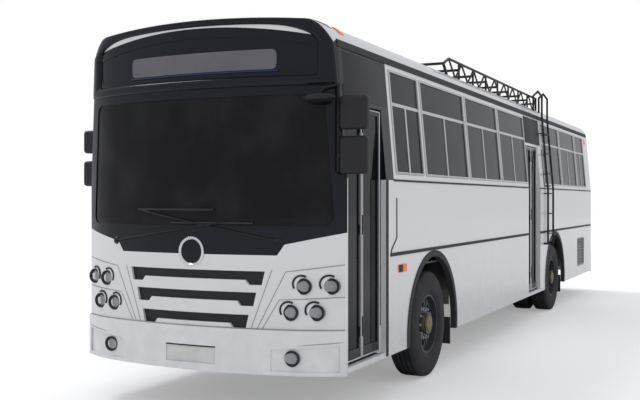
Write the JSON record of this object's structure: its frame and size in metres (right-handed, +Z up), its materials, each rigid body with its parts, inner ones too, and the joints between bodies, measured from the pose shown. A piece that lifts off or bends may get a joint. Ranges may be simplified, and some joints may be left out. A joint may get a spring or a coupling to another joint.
{
  "type": "single-deck passenger bus",
  "caption": "Full-size single-deck passenger bus with rear engine, two folding doors, roof luggage rack and side ladder.",
  "frame": {"origin": "on the ground under the middle of the vehicle's outer box", "axes": "+X forward, +Y to the door side (the vehicle's left), +Z up"},
  "size_m": [11.8999, 2.94, 3.3822],
  "materials": {
    "white_paint": "gloss",
    "black_paint": "gloss",
    "dark_glass": "gloss",
    "lamp_glass": "gloss",
    "bare_aluminium": "satin",
    "chassis_black": "satin",
    "floor_grey": "matt",
    "spring_steel": "satin",
    "engine_grey": "matt",
    "seat_fabric": "woven",
    "dark_plastic": "matt",
    "black_tube": "satin",
    "sign_grey": "satin",
    "marker_amber": "gloss",
    "lamp_red": "gloss",
    "trim_rubber": "matt",
    "louvre_grey": "satin",
    "tyre_rubber": "matt",
    "rim_grey": "satin"
  },
  "bodies": {
    "body": {"side_panels": "white_paint", "window_bands": "white_paint", "door_surround": "black_paint", "cabin_glass": "dark_glass", "window_bars": "bare_aluminium", "roof": "white_paint", "front_mask": "black_paint", "destination_sign": "sign_grey", "screen_surround": "black_paint", "windscreen": "dark_glass", "front_panel": "white_paint", "grille": "dark_plastic", "lamps": "lamp_glass", "markers": "marker_amber", "tail_lamps": "lamp_red", "bumpers": "white_paint", "rear_panel": "white_paint", "dark_trim": "trim_rubber", "engine_louvres": "louvre_grey", "wipers": "black_tube", "chassis_rails": "chassis_black", "cross_members": "chassis_black", "floor": "floor_grey", "wheel_housings": "chassis_black", "entry_steps": "floor_grey", "front_axle": "chassis_black", "rear_axle": "chassis_black", "leaf_springs": "spring_steel", "engine": "engine_grey", "fuel_tank": "chassis_black", "seats": "seat_fabric", "seat_frames": "chassis_black", "driver_seat": "seat_fabric", "dashboard": "dark_plastic", "handrails": "bare_aluminium", "roof_rack": "black_tube", "ladder": "black_tube", "mirrors": "dark_plastic"},
    "engine_lid": {"engine_lid": "white_paint"},
    "steering_wheel": {"steering_wheel": "dark_plastic"},
    "left_knuckle": {"left_knuckle": "chassis_black"},
    "front_left_wheel": {"front_left_tyre": "tyre_rubber", "front_left_rim": "rim_grey"},
    "rear_left_wheels": {"rear_left_tyres": "tyre_rubber", "rear_left_rims": "rim_grey"},
    "right_knuckle": {"right_knuckle": "chassis_black"},
    "front_right_wheel": {"front_right_tyre": "tyre_rubber", "front_right_rim": "rim_grey"},
    "rear_right_wheels": {"rear_right_tyres": "tyre_rubber", "rear_right_rims": "rim_grey"},
    "front_door_jamb": {"front_door_jamb_leaf": "black_paint", "front_door_jamb_glass": "dark_glass"},
    "front_door_fold": {"front_door_fold_leaf": "black_paint", "front_door_fold_glass": "dark_glass"},
    "rear_door_jamb": {"rear_door_jamb_leaf": "black_paint", "rear_door_jamb_glass": "dark_glass"},
    "rear_door_fold": {"rear_door_fold_leaf": "black_paint", "rear_door_fold_glass": "dark_glass"}
  },
  "joints": [
    {"name": "steering_left", "type": "hinge", "parent": "body", "child": "left_knuckle", "pos_m": [3.55, 0.925, 0.515], "axis": [0, 0, 1], "range_deg": [-35, 35]},
    {"name": "steering_right", "type": "hinge", "parent": "body", "child": "right_knuckle", "pos_m": [3.55, -0.925, 0.515], "axis": [0, 0, 1], "range_deg": [-35, 35]},
    {"name": "steering_wheel_turn", "type": "hinge", "parent": "body", "child": "steering_wheel", "pos_m": [5.3, -0.73, 1.69], "axis": [-0.4338, 0, 0.901], "range_deg": [-630, 630]},
    {"name": "front_left_wheel_spin", "type": "hinge", "parent": "left_knuckle", "child": "front_left_wheel", "pos_m": [3.55, 1.08, 0.515], "axis": [0, 1, 0], "continuous": true},
    {"name": "front_right_wheel_spin", "type": "hinge", "parent": "right_knuckle", "child": "front_right_wheel", "pos_m": [3.55, -1.08, 0.515], "axis": [0, 1, 0], "continuous": true},
    {"name": "rear_left_wheels_spin", "type": "hinge", "parent": "body", "child": "rear_left_wheels", "pos_m": [-2.45, 1, 0.515], "axis": [0, 1, 0], "continuous": true},
    {"name": "rear_right_wheels_spin", "type": "hinge", "parent": "body", "child": "rear_right_wheels", "pos_m": [-2.45, -1, 0.515], "axis": [0, 1, 0], "continuous": true},
    {"name": "front_door_jamb_hinge", "type": "hinge", "parent": "body", "child": "front_door_jamb", "pos_m": [5.6, 1.1725, 1.4], "axis": [0, 0, 1], "range_deg": [0, 85]},
    {"name": "front_door_fold_hinge", "type": "hinge", "parent": "front_door_jamb", "child": "front_door_fold", "pos_m": [5.229, 1.198, 1.4], "axis": [0, 0, -1], "range_deg": [0, 170]},
    {"name": "rear_door_jamb_hinge", "type": "hinge", "parent": "body", "child": "rear_door_jamb", "pos_m": [-0.632, 1.1725, 1.4], "axis": [0, 0, 1], "range_deg": [0, 85]},
    {"name": "rear_door_fold_hinge", "type": "hinge", "parent": "rear_door_jamb", "child": "rear_door_fold", "pos_m": [-0.975, 1.198, 1.4], "axis": [0, 0, -1], "range_deg": [0, 170]},
    {"name": "engine_lid_hinge", "type": "hinge", "parent": "body", "child": "engine_lid", "pos_m": [-5.932, 0, 1.5], "axis": [0, 1, 0], "range_deg": [0, 75]}
  ],
  "couplings": [
    {"joint": "steering_right", "follows": "steering_left", "ratio": 1},
    {"joint": "steering_wheel_turn", "follows": "steering_left", "ratio": 18},
    {"joint": "front_door_fold_hinge", "follows": "front_door_jamb_hinge", "ratio": 2},
    {"joint": "rear_door_fold_hinge", "follows": "rear_door_jamb_hinge", "ratio": 2}
  ]
}
